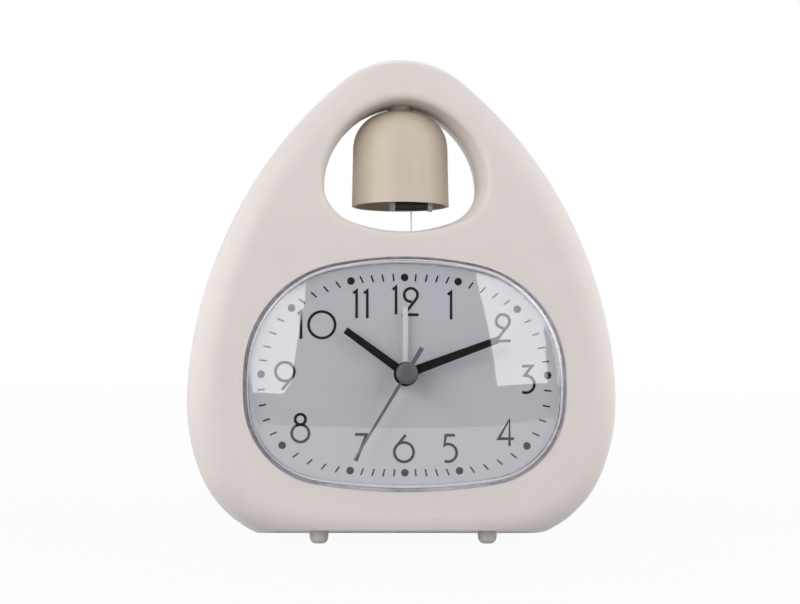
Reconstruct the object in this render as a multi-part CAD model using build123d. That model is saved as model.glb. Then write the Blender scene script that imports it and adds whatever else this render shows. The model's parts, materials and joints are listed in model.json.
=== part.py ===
from collections import namedtuple
from math import cos, pi, radians, sin, sqrt, tan
import os

from build123d import *

os.makedirs("parts", exist_ok=True)

# Housing outline, front view. Heights are measured from the flat underside.
body_half_width = 72.4
body_height = 160.8
widest_height = 44.5
crown_radius = 31.0
crown_end_angle = 40.0
flank_start_angle = 84.0
keel_depth = 5.5
keel_radius = 290.0
keel_end_angle = 7.5
hip_start_angle = 68.0

# Housing, side view. Depths are measured from the parting plane.
front_depth = 19.5
rear_depth = 22.0
top_front_depth = 12.5
top_rear_depth = 12.5
bend_height = 95.0
edge_radius = 9.5
wall = 2.0
seam_gap = 0.25
tongue_length = 2.0
tongue_root = 3.0
tongue_thickness = 1.2
tongue_gap = 0.15
lean_angle = 8.0
heel_width = 2.0
overrun = 5.0

# Handle opening at the parting plane
opening_half_width = 26.1
handle_thickness = 15.9
opening_rise = 26.9
opening_drop = 15.5
opening_middle = body_height - handle_thickness - opening_rise
opening_top_radius = 22.0
opening_top_angle = 20.0
opening_flank_angle = 64.0
opening_floor_radius = 51.0
opening_floor_angle = 20.0
opening_hip_angle = 65.0
opening_front_draft = 5.5
opening_rear_draft = 4.0
opening_lip_radius = 2.5

# Lens and dial
dial_height = 52.4
lens_middle = 48.7
lens_half_width = 54.5
lens_rise = 43.2
lens_drop = 35.7
lens_top_radius = 119.0
lens_top_angle = 11.7
lens_shoulder_angle = 84.0
lens_floor_radius = 185.0
lens_floor_angle = 9.4
lens_hip_angle = 85.5
lens_thickness = 1.6
lens_fit_gap = 0.25
lens_reach = 11.0
lens_dome_radius = 170.0
lens_edge_radius = 4.0
flange_width = 2.0
flange_thickness = 1.5
dial_thickness = 1.2
dial_hole_gap = 0.7

# Feet
foot_spacing = 57.0
foot_depth = 9.8
foot_radius = 3.3
foot_tip_radius = 3.0
foot_end_round = 2.4
foot_flat_depth = 0.25
foot_spigot_radius = 1.6
foot_spigot_length = 1.9
press_gap = 0.02

# Screws and bosses
shell_screw_low = (60.5, 36.0)
shell_screw_high = (41.0, 112.0)
shell_screw_radius = 1.3
shell_screw_length = 16.0
shell_screw_head = 2.8
shell_head_thickness = 2.0
shell_boss_radius = 3.0
shell_seat_depth = 8.0
bore_gap = 0.05
head_gap = 0.4
boss_wall = 1.5
dial_boss_radius = 2.2
dial_screw_radius = 1.0
dial_screw_length = 3.4
dial_screw_head = 3.2
dial_head_thickness = 1.2
dial_boss_gap = 0.2
dial_boss_angle = 45.0

# Bell and hanger
bell_radius = 16.6
bell_roof_gap = 0.8
bell_height = 33.0
bell_crown_height = body_height - handle_thickness - bell_roof_gap
bell_rim_height = bell_crown_height - bell_height
bell_dome_height = 14.0
bell_dome_radius = 16.2
bell_crown_radius = 24.0
bell_crown_angle = 18.0
bell_shoulder_angle = 80.0
bell_thickness = 1.0
hanger_radius = 4.3
hanger_flange_radius = 6.0
hanger_flange_thickness = 1.6
hanger_gap = 0.2
hanger_pad_radius = 7.5
hanger_pad_rise = 1.2
bell_screw_radius = 1.3
bell_screw_head = 2.6
bell_head_thickness = 1.8

# Striker
striker_place = 3.7
striker_pivot_height = 84.0
striker_wire_radius = 0.25
striker_head_lift = 0.5
striker_head_height = bell_rim_height + striker_head_lift
striker_head_length = 14.4
striker_head_radius = 1.9
striker_end_radius = 2.2
striker_end_width = 1.6
striker_slot_left = 2.2
striker_slot_right = 3.9
striker_slot_half = 1.4
pivot_radius = 0.8
lever_hub_radius = 2.5
lever_half_width = 3.6
lever_thickness = 2.0
lever_height = 9.0
armature_thickness = 1.2
armature_height = 8.0
armature_lift = 3.0
cheek_gap = 0.3
cheek_thickness = 1.0
cheek_half = 3.5
cheek_foot = 4.4
core_radius = 2.2
core_height = 7.0
core_gap = 2.2
coil_radius = 5.5
coil_length = 14.0
coil_inset = 1.4
bobbin_flange = 0.8
yoke_thickness = 1.2
yoke_half = 5.0
frame_left = 9.0
frame_back_height = 7.0
frame_back_place = 6.8
frame_screw_radius = 1.2
frame_screw_head = 2.4
frame_head_thickness = 1.4
frame_screw_length = 6.5
frame_post_radius = 2.6
frame_screw_inset = 3.4

# Movement case
case_half_width = 27.0
case_rise = 24.2
case_drop = 24.7
case_wall = 1.2
case_corner = 3.0
case_spare = 0.7
ear_length = 6.0
ear_half = 3.4
ear_thickness = 1.6
ear_offset = 14.0
ear_stand = 5.0
ear_post_radius = 2.3
ear_screw_radius = 0.95
ear_screw_head = 2.0
ear_screw_length = 5.2
ear_head_thickness = 1.2
corner_post_radius = 2.0
corner_post_inset = 2.6
cover_screw_radius = 0.8
cover_screw_head = 1.6
cover_screw_length = 6.0
cover_head_thickness = 0.9
plate_post_radius = 1.2
plate_post_x = 23.6
plate_post_z = 12.5
plate_margin = 0.3
plate_drop = 16.0

# Wheel train
wheel_width = 0.8
wheel_space = 0.5
pinion_margin = 0.2
plate_thickness = 0.6
third_distance = 11.7
motion_distance = 12.0
alarm_distance = 12.0
inter_distance = 8.4
rotor_distance = 7.0
rotor_angle = 225.0
arbor_radius = 0.5
shaft_radius = 1.0
second_arbor_radius = 0.8
pipe_wall = 0.6
pivot_depth = 0.6
magnet_radius = 3.0
magnet_thickness = 0.9
magnet_gap = 0.6
pinion_teeth = 8
second_teeth = 40
inter_teeth = 48
third_teeth = 60
centre_teeth = 64
motion_teeth = 24
hour_teeth = 32
alarm_teeth = 32
addendum_share = 0.8
dedendum_share = 1.15
tooth_share = 0.8
tip_slope_share = 0.36
root_slope_share = 0.22

# Motor and circuit
stator_thickness = 1.2
stator_left = 16.0
stator_right = 10.0
stator_top = 11.0
stator_bottom = 15.8
stator_leg = 3.5
stator_ring = 4.9
motor_coil_radius = 2.1
motor_coil_height = 20.6
motor_coil_margin = 1.0
motor_core_height = 1.6
motor_core_depth = 1.0
board_half_width = 19.0
board_low = 14.0
board_high = 22.0
board_thickness = 1.0
chip_radius = 2.8
chip_height = 1.1
chip_place = 8.0
crystal_radius = 1.0
crystal_length = 6.0
crystal_place = 9.0

# Hands
hand_thickness = 0.4
hub_thickness = 1.2
alarm_hand_rise = 2.2
hour_hand_rise = 3.9
minute_hand_rise = 5.6
second_hand_rise = 7.3
alarm_hand_length = 22.5
alarm_hand_width = 1.7
alarm_hub_radius = 4.45
hour_hand_length = 25.0
hour_hand_root = 2.9
hour_hand_tip = 2.3
hour_hub_radius = 4.1
minute_hand_length = 33.0
minute_hand_root = 3.2
minute_hand_tip = 2.3
minute_hub_radius = 3.9
second_hand_length = 34.0
second_hand_root = 1.2
second_hand_tip = 0.7
second_tail_length = 10.0
second_tail_width = 1.6
second_hub_radius = 2.6
cap_radius = 3.65
cap_height = 2.0
cap_round = 1.4
alarm_angle = 0.0
hour_angle = 305.8
minute_angle = 69.6
second_angle = 211.2

# Controls on the back
knob_radius = 5.5
knob_length = 6.0
knob_gap = 0.6
knob_stem_radius = 2.6
knob_hole_gap = 0.3
knob_flutes = 20
knob_flute_depth = 0.45
knob_edge = 0.5
knob_shaft_hold = 4.0
switch_place = -30.0
switch_height = 84.0
switch_travel = 4.0
switch_grip_length = 5.0
switch_grip_height = 3.4
switch_grip_rise = 1.6
switch_plate_length = 11.0
switch_plate_height = 6.4
switch_plate_thickness = 1.0
switch_gap = 0.25
switch_body_half = 10.5
switch_body_height = 8.0
switch_body_depth = 4.5
switch_leg = 1.6
switch_rib_half = 0.4
switch_rib_rise = 0.4

# Battery
battery_radius = 7.1
battery_length = 49.0
battery_height = 19.0
battery_depth = 12.0
battery_nub_radius = 2.7
battery_nub_length = 1.4
battery_edge = 0.6
tray_wall = 1.5
tray_gap = 0.4
tray_left_room = 3.0
spring_wire = 0.35
spring_large = 3.6
spring_turns = 3.0
contact_thickness = 0.5
contact_half = 4.5
door_thickness = 1.6
door_gap = 0.25
door_ledge = 1.2
door_slot_half = 6.0
door_slot_height = 1.4
door_slot_depth = 0.8
door_slot_pitch = 2.6

Oval = namedtuple("Oval", "middle half_width rise drop top_radius top_angles low_radius low_angles")

body_oval = Oval(
    widest_height, body_half_width, body_height - widest_height, widest_height + keel_depth,
    crown_radius, (crown_end_angle, flank_start_angle), keel_radius, (keel_end_angle, hip_start_angle))
opening_oval = Oval(
    opening_middle, opening_half_width, opening_rise, opening_drop,
    opening_top_radius, (opening_top_angle, opening_flank_angle),
    opening_floor_radius, (opening_floor_angle, opening_hip_angle))
lens_oval = Oval(
    lens_middle, lens_half_width, lens_rise, lens_drop,
    lens_top_radius, (lens_top_angle, lens_shoulder_angle),
    lens_floor_radius, (lens_floor_angle, lens_hip_angle))


def quadrant(half_width, height, apex_radius, angles):
    """Three tangent arcs from the apex (0, height) to the side (half_width, 0).

    Angles of the outward normal are measured from upright; the second and third radii follow
    from the half width and the height.
    """
    first, last = (radians(angle) for angle in angles)
    start = (apex_radius * sin(first), height - apex_radius + apex_radius * cos(first))
    a, b = cos(last) - cos(first), -cos(last)
    c, d = sin(last) - sin(first), 1 - sin(last)
    p, q = -start[1], half_width - start[0]
    middle_radius = (p * d - b * q) / (a * d - b * c)
    side_radius = (a * q - p * c) / (a * d - b * c)
    apex_centre = (0, height - apex_radius)
    middle_centre = (start[0] - middle_radius * sin(first), start[1] - middle_radius * cos(first))
    side_centre = (half_width - side_radius, 0)
    return [
        (apex_centre, apex_radius, 0, first),
        (middle_centre, middle_radius, first, last),
        (side_centre, side_radius, last, pi / 2),
    ]


def quadrants(oval):
    """Arcs of the upper and lower quadrant, with the sense of up for each."""
    upper = quadrant(oval.half_width, oval.rise, oval.top_radius, oval.top_angles)
    lower = quadrant(oval.half_width, oval.drop, oval.low_radius, oval.low_angles)
    return ((1, upper), (-1, lower))


def oval_face(oval, inset=0):
    """Front-view face of an oval, drawn in parallel by the inset."""
    edges = []
    for side in (1, -1):
        for up, arcs in quadrants(oval):
            for centre, radius, begin, end in arcs:
                marks = []
                for angle in (begin, (begin + end) / 2, end):
                    across = side * (centre[0] + (radius - inset) * sin(angle))
                    marks.append((across, oval.middle + up * (centre[1] + (radius - inset) * cos(angle))))
                edges.append(ThreePointArc(*marks))
    return make_face(edges)


def oval_corner(oval, up, angle, outset):
    """Point beside the middle arc of the upper or lower quadrant, right-hand side."""
    for sense, arcs in quadrants(oval):
        if sense == up:
            centre, radius = arcs[1][0], arcs[1][1] + outset
            across = centre[0] + radius * sin(radians(angle))
            return (across, oval.middle + up * (centre[1] + radius * cos(radians(angle))))


def at_depth(y):
    """Front-view sketch plane at depth y; the front of the clock is toward minus y."""
    return Plane.XZ.offset(-y)


def prism(face, y_front, y_back):
    return extrude(at_depth(y_back) * face, y_back - y_front)


def disc(radius, y_front, y_back, spot=(0, 0)):
    return prism(Pos(*spot) * Circle(radius), y_front, y_back)


def block(x_range, y_range, z_range):
    spans = (x_range, y_range, z_range)
    middle = [(low + high) / 2 for low, high in spans]
    return Pos(*middle) * Box(*[high - low for low, high in spans])


def both_sides(spot):
    return [spot, (-spot[0], spot[1])]


# Housing
half_span = body_half_width + overrun


def side_profile(inset):
    """Prism across the clock: upright faces below the bend, drawn in toward the top above it."""
    low = -keel_depth - overrun
    high = body_height + overrun
    front, rear = front_depth - inset, rear_depth - inset
    top_front, top_rear = top_front_depth - inset, top_rear_depth - inset
    upright = (0, 1)
    edges = [
        Line((-front, low), (-front, bend_height)),
        TangentArc((-front, bend_height), (-top_front, high), tangent=upright),
        Line((-top_front, high), (top_rear, high)),
        TangentArc((rear, bend_height), (top_rear, high), tangent=upright),
        Line((rear, bend_height), (rear, low)),
        Line((rear, low), (-front, low)),
    ]
    return extrude(Plane.YZ * make_face(edges), half_span, both=True)


def pillow(inset):
    """Rounded body form, drawn in by the inset on every side."""
    form = prism(oval_face(body_oval, inset), -front_depth + inset, rear_depth - inset)
    form = form & side_profile(inset)
    rim = [edge for edge in form.edges() if edge.geom_type != GeomType.LINE]
    return fillet(rim, edge_radius - inset)


def opening_cut(inset):
    """Cutter of the handle opening, drafted wider toward the front and the rear."""
    reach = rear_depth + overrun
    mouth = at_depth(0) * oval_face(opening_oval, inset)
    cutter = extrude(mouth, reach, dir=(0, -1, 0), taper=-opening_front_draft)
    return cutter + extrude(mouth, reach, dir=(0, 1, 0), taper=-opening_rear_draft)


def above(height):
    return block((-half_span, half_span), (-half_span, half_span), (height, body_height + overrun))


def near_opening(edge):
    place = edge.center()
    low = opening_middle - opening_drop - opening_lip_radius
    high = opening_middle + opening_rise + opening_lip_radius
    inside = abs(place.X) < opening_half_width + opening_lip_radius and low < place.Z < high
    return inside and abs(place.Y) > wall


form = pillow(0) - opening_cut(0)
form = fillet([edge for edge in form.edges() if near_opening(edge)], opening_lip_radius)
cavity = (pillow(wall) - opening_cut(-wall)) & above(wall)
shell = (form & above(0)) - cavity

front_half = block((-half_span, half_span), (-half_span, -seam_gap / 2), (-overrun, body_height + overrun))
rear_half = block((-half_span, half_span), (seam_gap / 2, half_span), (-overrun, body_height + overrun))
front_shell = shell & front_half
rear_shell = shell & rear_half

front_inner = -front_depth + wall
rear_inner = rear_depth - wall
flange_back = front_inner + flange_thickness
dial_back = flange_back + dial_thickness


def case_section(inset):
    """Front-view section of the housing above its underside, drawn in by the inset."""
    span = body_height + overrun - inset
    return oval_face(body_oval, inset) & (Pos(0, inset + span / 2) * Rectangle(2 * half_span, span))


# Tongue of the rear shell, which slides inside the front shell's wall
tongue_inner = wall + tongue_gap + tongue_thickness
tongue_free = case_section(wall + tongue_gap) - case_section(tongue_inner)
tongue_base = case_section(wall / 2) - case_section(tongue_inner)
rear_shell += prism(tongue_base, seam_gap / 2, tongue_root) + prism(tongue_free, -tongue_length, tongue_root)

# Bosses and screws that join the two shells
screw_spots = both_sides(shell_screw_low) + both_sides(shell_screw_high)
seat_radius = shell_screw_head + head_gap
shell_screws = Part()
for spot in screw_spots:
    front_end = front_inner - wall / 2
    boss = disc(shell_boss_radius, front_end, 0, spot)
    front_shell += boss & (form & above(0))
    bore_end = shell_seat_depth - shell_screw_length - pivot_depth
    front_shell -= disc(shell_screw_radius + bore_gap, bore_end, overrun, spot)
    rear_boss = disc(seat_radius + boss_wall, 0, rear_inner + wall / 2, spot)
    rear_shell += rear_boss & form
    rear_shell -= disc(shell_screw_radius + bore_gap, -overrun, rear_depth, spot)
    rear_shell -= disc(seat_radius, shell_seat_depth, rear_depth + overrun, spot)
    screw = disc(shell_screw_radius, shell_seat_depth - shell_screw_length, shell_seat_depth, spot)
    screw += disc(shell_screw_head, shell_seat_depth, shell_seat_depth + shell_head_thickness, spot)
    shell_screws += screw

# Heel: the rear lower edge is cut flat in the plane that the clock stands on
edge_setback = edge_radius - sqrt(edge_radius ** 2 - (edge_radius - keel_depth) ** 2)
heel_depth = rear_depth - edge_setback - heel_width
ground = Pos(0, heel_depth, 0) * Rot(lean_angle, 0, 0)
below_ground = ground * block((-half_span, half_span), (-half_span, half_span), (-half_span, 0))
rear_shell -= below_ground

# Feet
foot_x = foot_spacing / 2
foot_drop = (heel_depth + foot_depth) * tan(radians(lean_angle)) + foot_flat_depth


def foot(x):
    profile = Polyline(
        (0, 0), (foot_radius, 0), (foot_tip_radius, -foot_drop), (0, -foot_drop), close=True)
    cone = revolve(Plane.XZ * make_face(profile), Axis.Z)
    tip = cone.edges().filter_by(GeomType.CIRCLE).sort_by(Axis.Z)[0]
    peg = fillet(tip, foot_end_round) + Pos(0, 0, foot_spigot_length / 2) * Cylinder(
        foot_spigot_radius, foot_spigot_length)
    return Pos(x, -foot_depth, 0) * peg - below_ground


foot_left = foot(-foot_x)
foot_right = foot(foot_x)
for x in (-foot_x, foot_x):
    front_shell -= Pos(x, -foot_depth, 0) * Cylinder(foot_spigot_radius + press_gap, 2 * foot_spigot_length)

# Lens: a flanged cup with a domed face, seated from inside in the front shell's aperture
front_shell -= prism(oval_face(lens_oval, -lens_fit_gap), -front_depth - overrun, front_inner + wall / 2)


def lens_form(inset):
    apex = -front_depth - lens_reach + inset
    radius = lens_dome_radius - inset
    cup = prism(oval_face(lens_oval, inset), apex - overrun, front_inner)
    cup = cup & (Pos(0, apex + radius, dial_height) * Sphere(radius))
    rim = [edge for edge in cup.edges() if edge.center().Y < -front_depth]
    rim = [edge for edge in rim if edge.geom_type != GeomType.LINE]
    return fillet(rim, lens_edge_radius - inset)


lens_flange = prism(oval_face(lens_oval, -flange_width), front_inner, flange_back)
lens_inner = lens_form(lens_thickness) + prism(oval_face(lens_oval, lens_thickness), front_inner, flange_back)
dial_lens = lens_form(0) + lens_flange - lens_inner

dial_plate = prism(oval_face(lens_oval, -flange_width), flange_back, dial_back)

# Screws beside the dial clamp its edge and the lens flange to the front shell
dial_screws = Part()
dial_outset = flange_width + dial_boss_gap + dial_boss_radius
for up in (1, -1):
    for spot in both_sides(oval_corner(lens_oval, up, dial_boss_angle, dial_outset)):
        front_shell += disc(dial_boss_radius, front_inner - wall / 2, dial_back, spot)
        bore_end = dial_back - dial_screw_length - bore_gap
        front_shell -= disc(dial_screw_radius + bore_gap, bore_end, dial_back, spot)
        dial_screws += disc(dial_screw_radius, dial_back - dial_screw_length, dial_back, spot)
        dial_screws += disc(dial_screw_head, dial_back, dial_back + dial_head_thickness, spot)

# Bell, hung from a flanged hanger that the two shells hold in the roof of the opening
ceiling = opening_middle + opening_rise


def bell_form(inset):
    """Outer face of the bell drawn in by the inset, closed by the plane of the rim."""
    dome_base = bell_crown_height - bell_dome_height
    angles = (bell_crown_angle, bell_shoulder_angle)
    arcs = quadrant(bell_dome_radius, bell_dome_height, bell_crown_radius, angles)
    edges = []
    for centre, radius, begin, end in arcs:
        marks = []
        for angle in (begin, (begin + end) / 2, end):
            across = centre[0] + (radius - inset) * sin(angle)
            marks.append((across, dome_base + centre[1] + (radius - inset) * cos(angle)))
        edges.append(ThreePointArc(*marks))
    shoulder = (bell_dome_radius - inset, dome_base)
    mouth = (bell_radius - inset, bell_rim_height)
    edges += [Line(shoulder, mouth), Line(mouth, (0, bell_rim_height))]
    edges.append(Line((0, bell_rim_height), (0, bell_crown_height - inset)))
    return revolve(Plane.XZ * make_face(edges), Axis.Z)


def post(radius, z_low, z_high):
    return Pos(0, 0, (z_low + z_high) / 2) * Cylinder(radius, z_high - z_low)


pad_top = ceiling + wall + hanger_pad_rise
hanger_top = pad_top + hanger_flange_thickness
bell_under = bell_crown_height - bell_thickness
crown_cut = post(bell_screw_radius + bore_gap, bell_rim_height, hanger_top)
bell = bell_form(0) - bell_form(bell_thickness) - crown_cut
hanger_seat = bell_form(0)
bell_hanger = post(hanger_radius, bell_under, hanger_top) - hanger_seat
bell_hanger += post(hanger_flange_radius, pad_top, hanger_top)
bell_hanger -= crown_cut
roof_pad = post(hanger_pad_radius, ceiling - overrun, pad_top) & form
roof_pad -= post(hanger_radius + hanger_gap, ceiling - overrun, pad_top)
roof_hole = post(hanger_radius + hanger_gap, ceiling - overrun, pad_top)
front_shell = front_shell + (roof_pad & front_half) - roof_hole
rear_shell = rear_shell + (roof_pad & rear_half) - roof_hole
bell_screw = post(bell_screw_radius, bell_under, hanger_top)
bell_screw += post(bell_screw_head, bell_under - bell_head_thickness, bell_under) - bell_form(0) + (
    post(bell_screw_head, bell_under - bell_head_thickness, bell_under) & bell_form(bell_thickness))

# Striker: a sprung lever with an armature below, a wire and a bar head in the mouth of the bell
pivot = (striker_place, striker_pivot_height)
lever_top = striker_pivot_height + lever_height
pull_height = striker_pivot_height + core_height
pivot_cut = disc(pivot_radius + bore_gap, -half_span, half_span, pivot)
striker_lever = disc(lever_hub_radius, -lever_half_width, lever_half_width, pivot)
arm_half = lever_thickness / 2
striker_lever += block(
    (striker_place - arm_half, striker_place + arm_half), (-lever_half_width, lever_half_width),
    (striker_pivot_height, lever_top))
striker_lever -= pivot_cut
armature_low = striker_pivot_height + armature_lift
armature_right = striker_place + arm_half + armature_thickness
striker_armature = block(
    (striker_place + arm_half, armature_right), (-lever_half_width, lever_half_width),
    (armature_low, armature_low + armature_height))
wire_foot = lever_top - lever_thickness
wire_low = Pos(striker_place, 0, (wire_foot + striker_head_height) / 2)
striker_wire = wire_low * Cylinder(striker_wire_radius, striker_head_height - wire_foot)
striker_lever -= striker_wire
head_left = striker_place - striker_head_length / 2
end_edges = [(head_left, head_left + striker_end_width)]
end_edges.append((head_left + striker_head_length - striker_end_width, head_left + striker_head_length))


def bar(radius, x_range):
    middle = (x_range[0] + x_range[1]) / 2
    return Pos(middle, 0, striker_head_height) * Rot(0, 90, 0) * Cylinder(radius, x_range[1] - x_range[0])


striker_head = bar(striker_head_radius, (end_edges[0][1], end_edges[1][0])) - striker_wire
striker_ends = bar(striker_end_radius, end_edges[0]) + bar(striker_end_radius, end_edges[1])

cheek_in = lever_half_width + cheek_gap
cheek_out = cheek_in + cheek_thickness
frame_low = striker_pivot_height - cheek_foot
core_left = armature_right + core_gap
core_right = core_left + coil_inset + coil_length + coil_inset
frame_right = core_right + yoke_thickness
frame_x_left = striker_place - frame_left
frame_depth_half = frame_back_place
striker_frame = block(
    (frame_x_left, frame_right), (-frame_depth_half, frame_back_place + yoke_thickness),
    (frame_low - yoke_thickness, frame_low))
for y_low, y_high in ((-cheek_out, -cheek_in), (cheek_in, cheek_out)):
    cheek = block(
        (striker_place - cheek_half, striker_place + cheek_half), (y_low, y_high),
        (frame_low, striker_pivot_height))
    cheek += disc(cheek_half, y_low, y_high, pivot)
    striker_frame += cheek
striker_frame += block(
    (core_right, frame_right), (-yoke_half, yoke_half), (frame_low, pull_height + yoke_half))
striker_frame += block(
    (frame_x_left, frame_right), (frame_back_place, frame_back_place + yoke_thickness),
    (frame_low, frame_low + frame_back_height))
striker_frame -= disc(pivot_radius + press_gap, -half_span, half_span, pivot)
striker_pin = disc(pivot_radius, -cheek_out, cheek_out, pivot)


def pull_bar(radius, x_low, x_high):
    return Pos((x_low + x_high) / 2, 0, pull_height) * Rot(0, 90, 0) * Cylinder(radius, x_high - x_low)


striker_core = pull_bar(core_radius, core_left, frame_right)
striker_frame -= pull_bar(core_radius + press_gap, core_right - overrun, frame_right)
coil_left = core_left + coil_inset
coil_right = core_right
striker_coil = pull_bar(coil_radius, coil_left, coil_right)
striker_coil -= pull_bar(core_radius + press_gap, coil_left, coil_right)
groove = pull_bar(coil_radius, coil_left + bobbin_flange, coil_right - bobbin_flange)
groove -= pull_bar(coil_radius - bobbin_flange, coil_left, coil_right)
striker_coil -= groove

frame_screws = Part()
frame_back = frame_back_place + yoke_thickness
frame_screw_height = frame_low + frame_back_height / 2
for x in (frame_x_left + frame_screw_inset, frame_right - frame_screw_inset):
    spot = (x, frame_screw_height)
    frame_end = frame_back_place + frame_screw_length
    striker_frame -= disc(frame_screw_radius + bore_gap, frame_back_place, frame_back, spot)
    rear_shell += disc(frame_post_radius, frame_back, rear_inner + wall / 2, spot)
    rear_shell -= disc(frame_screw_radius + bore_gap, frame_back, frame_end + bore_gap, spot)
    frame_screws += disc(frame_screw_radius, frame_back_place, frame_end, spot)
    frame_screws += disc(frame_screw_head, frame_back_place - frame_head_thickness, frame_back_place, spot)

# Slot for the wire in the floor of the opening
floor_height = opening_middle - opening_drop
wire_slot = block(
    (striker_place - striker_slot_left, striker_place + striker_slot_right),
    (-striker_slot_half, striker_slot_half), (floor_height - wall - overrun, floor_height + overrun))
front_shell -= wire_slot
rear_shell -= wire_slot

# Movement levels, counted from the front case inward
case_inner = dial_back + case_wall


def level(index):
    return case_inner + wheel_space + index * (wheel_width + wheel_space)


plate_front = level(5)
plate_back = plate_front + plate_thickness
cover_inner = level(8) + case_spare
cover_back = cover_inner + case_wall


def axis_spot(distance, angle):
    return (distance * cos(radians(angle)), dial_height + distance * sin(radians(angle)))


centre_spot = (0, dial_height)
third_spot = axis_spot(third_distance, 90)
motion_spot = axis_spot(motion_distance, 180)
alarm_spot = axis_spot(alarm_distance, 0)
inter_spot = axis_spot(inter_distance, 270)
rotor_spot = (inter_spot[0] + rotor_distance * cos(radians(rotor_angle)),
              inter_spot[1] + rotor_distance * sin(radians(rotor_angle)))


def gear_face(teeth, module, phase, spot):
    """Straight-flanked gear outline with working backlash."""
    pitch = teeth * module / 2
    tip = pitch + addendum_share * module
    root = pitch - dedendum_share * module
    half = pi / 4 * module * tooth_share
    tip_turn = (half - addendum_share * module * tip_slope_share) / tip
    root_turn = (half + dedendum_share * module * root_slope_share) / root
    marks = []
    for count in range(teeth):
        middle = phase + 2 * pi * count / teeth
        for radius, turn in ((root, -root_turn), (tip, -tip_turn), (tip, tip_turn), (root, root_turn)):
            marks.append((spot[0] + radius * cos(middle + turn), spot[1] + radius * sin(middle + turn)))
    return make_face(Polyline(*marks, close=True))


def gear(teeth, module, index, spot, phase=0, margin=0):
    y_front = level(index)
    return prism(gear_face(teeth, module, phase, spot), y_front - margin, y_front + wheel_width + margin)


def pinion(module, index, spot):
    return gear(pinion_teeth, module, index, spot, 0, pinion_margin)


def mesh_phase(teeth, angle):
    """Phase of a wheel that meets a pinion of phase 0, seen from the pinion at the given angle."""
    toward = radians(angle)
    share = (toward * pinion_teeth / (2 * pi)) % 1
    return toward + pi - 2 * pi / teeth * (1 / 2 - share)


def pair_module(distance, teeth):
    return 2 * distance / (pinion_teeth + teeth)


second_module = pair_module(inter_distance, second_teeth)
inter_module = pair_module(rotor_distance, inter_teeth)
third_module = pair_module(third_distance, third_teeth)
centre_module = pair_module(third_distance, centre_teeth)
motion_module = pair_module(motion_distance, motion_teeth)
hour_module = pair_module(motion_distance, hour_teeth)
alarm_module = pair_module(alarm_distance, alarm_teeth)

front_pivot = case_inner - pivot_depth
back_pivot = cover_inner + pivot_depth
dial_front = flange_back
alarm_hand_y = dial_front - alarm_hand_rise
hour_hand_y = dial_front - hour_hand_rise
minute_hand_y = dial_front - minute_hand_rise
second_hand_y = dial_front - second_hand_rise

minute_bore = second_arbor_radius + bore_gap
minute_pipe = minute_bore + pipe_wall
hour_bore = minute_pipe + bore_gap
hour_pipe = hour_bore + pipe_wall
alarm_bore = hour_pipe + bore_gap
alarm_pipe = alarm_bore + pipe_wall

second_wheel = disc(second_arbor_radius, second_hand_y - hub_thickness, back_pivot, centre_spot)
second_wheel += pinion(third_module, 4, centre_spot)
second_wheel += gear(second_teeth, second_module, 6, centre_spot, mesh_phase(second_teeth, 90))

third_wheel = disc(arbor_radius, front_pivot, back_pivot, third_spot)
third_wheel += pinion(centre_module, 3, third_spot)
third_wheel += gear(third_teeth, third_module, 4, third_spot, mesh_phase(third_teeth, 90))

centre_wheel = disc(minute_pipe, minute_hand_y - hub_thickness, level(3) + wheel_width, centre_spot)
centre_wheel += pinion(motion_module, 2, centre_spot)
centre_wheel += gear(centre_teeth, centre_module, 3, centre_spot, mesh_phase(centre_teeth, 270))
centre_wheel -= disc(minute_bore, -half_span, half_span, centre_spot)

knob_front = rear_depth + knob_gap
shaft_end = knob_front + knob_shaft_hold
motion_wheel = disc(shaft_radius, front_pivot, shaft_end, motion_spot)
motion_wheel += pinion(hour_module, 1, motion_spot)
motion_wheel += gear(motion_teeth, motion_module, 2, motion_spot, mesh_phase(motion_teeth, 180))

hour_wheel = disc(hour_pipe, hour_hand_y - hub_thickness, level(1) + wheel_width, centre_spot)
hour_wheel += gear(hour_teeth, hour_module, 1, centre_spot, mesh_phase(hour_teeth, 0))
hour_wheel -= disc(hour_bore, -half_span, half_span, centre_spot)

alarm_wheel = disc(alarm_pipe, alarm_hand_y - hub_thickness, level(0) + wheel_width, centre_spot)
alarm_wheel += gear(alarm_teeth, alarm_module, 0, centre_spot, mesh_phase(alarm_teeth, 180))
alarm_wheel -= disc(alarm_bore, -half_span, half_span, centre_spot)

alarm_shaft = disc(shaft_radius, front_pivot, shaft_end, alarm_spot)
alarm_shaft += pinion(alarm_module, 0, alarm_spot)

inter_wheel = disc(arbor_radius, plate_front, back_pivot, inter_spot)
inter_wheel += pinion(second_module, 6, inter_spot)
inter_wheel += gear(inter_teeth, inter_module, 7, inter_spot, mesh_phase(inter_teeth, rotor_angle + 180))

rotor = disc(arbor_radius, plate_front, back_pivot, rotor_spot)
rotor += pinion(inter_module, 7, rotor_spot)
rotor += disc(magnet_radius, level(6), level(6) + magnet_thickness, rotor_spot)

# Movement case
case_low = dial_height - case_drop
case_high = dial_height + case_rise


def case_face(inset):
    width = 2 * (case_half_width - inset)
    height = case_high - case_low - 2 * inset
    middle = (case_high + case_low) / 2
    return Pos(0, middle) * RectangleRounded(width, height, case_corner - inset)


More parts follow.
